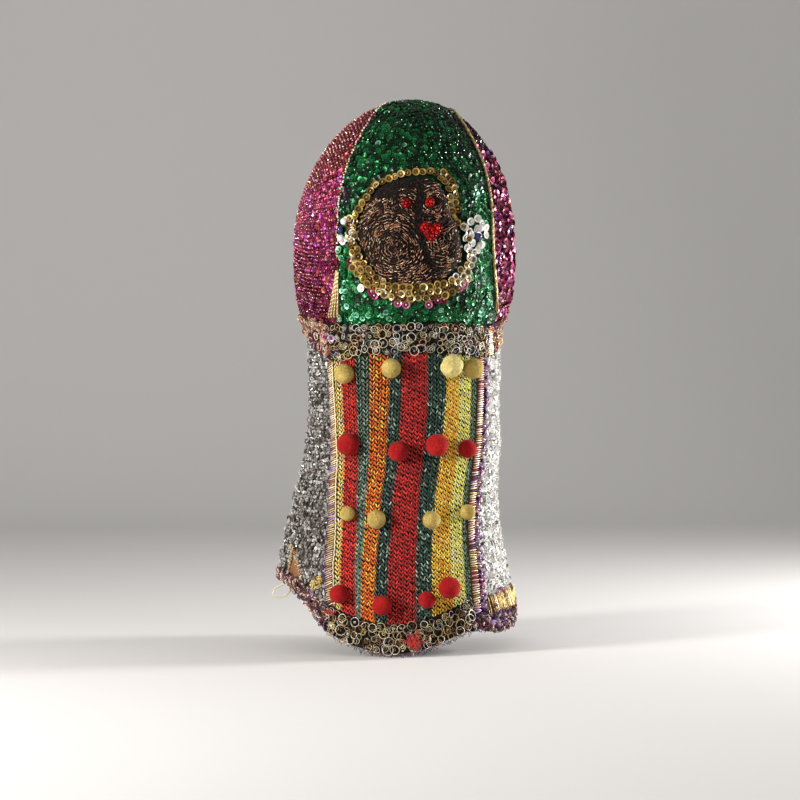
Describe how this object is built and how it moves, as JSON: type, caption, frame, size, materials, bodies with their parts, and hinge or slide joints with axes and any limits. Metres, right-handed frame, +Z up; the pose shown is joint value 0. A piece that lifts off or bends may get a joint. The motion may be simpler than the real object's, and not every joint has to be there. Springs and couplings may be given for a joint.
{
  "type": "masquerade hood",
  "caption": "Masquerade hood for the whole head and neck: a sequined cap with a small stuffed face, over a striped crochet bib and a beaded tube, with cloth balls.",
  "frame": {"origin": "where the crown of the wearer's head bears against the inside of the cap's top", "axes": "+Z up, -Y to the front, where the small face is, +X to the right as seen from the front"},
  "size_m": [0.235, 0.2531, 0.5394],
  "materials": {
    "green_sequins": "overlapping metallic sequins on cloth",
    "magenta_sequins": "overlapping metallic sequins on cloth",
    "gold_sequins": "metallized cup sequins",
    "face_knit": "knit with copper thread",
    "red_beads": "polished",
    "blue_beads": "polished",
    "white_beads": "polished",
    "gold_braid": "metallic loop braid",
    "cream_cord": "ribbed metallic cord",
    "brocade": "metallic brocade ribbon",
    "crochet": "striped wool crochet",
    "silver_beading": "silver beading and sequins on cloth",
    "tan_lining": "plain lining cloth",
    "purple_braid": "ribbed braid",
    "pink_braid": "ribbed metallic braid",
    "yellow_cloth": "matte jersey over wadding",
    "red_cloth": "matte jersey over wadding"
  },
  "bodies": {
    "root": {"crown_center_panel": "green_sequins", "crown_left_panel": "magenta_sequins", "crown_right_panel": "magenta_sequins", "crown_piping_right": "gold_braid", "crown_wedge_left": "cream_cord", "face_pad": "face_knit", "eye_left": "red_beads", "eye_right": "red_beads", "mouth_beads": "red_beads", "face_ring": "gold_sequins", "blue_bead_left": "blue_beads", "white_bead_left_upper": "white_beads", "white_bead_left_lower": "white_beads", "blue_bead_right": "blue_beads", "white_bead_right_upper": "white_beads", "white_bead_right_lower": "white_beads", "neck_band_front": "gold_braid", "neck_band_back": "brocade", "crochet_panel": "crochet", "side_panel_left": "silver_beading", "side_panel_right": "silver_beading", "lining_left": "tan_lining", "braid_left": "gold_braid", "braid_right_inner": "pink_braid", "braid_right_outer": "purple_braid", "braid_back": "purple_braid", "hem_band_front": "gold_braid", "hem_corner_right": "cream_cord", "hem_binding": "purple_braid", "ball_1": "yellow_cloth", "ball_2": "yellow_cloth", "ball_3": "yellow_cloth", "ball_4": "yellow_cloth", "ball_5": "red_cloth", "ball_6": "red_cloth", "ball_7": "red_cloth", "ball_8": "red_cloth", "ball_9": "yellow_cloth", "ball_10": "yellow_cloth", "ball_11": "yellow_cloth", "ball_12": "yellow_cloth", "ball_13": "red_cloth", "ball_14": "red_cloth", "ball_15": "red_cloth", "ball_16": "red_cloth"}
  },
  "joints": []
}
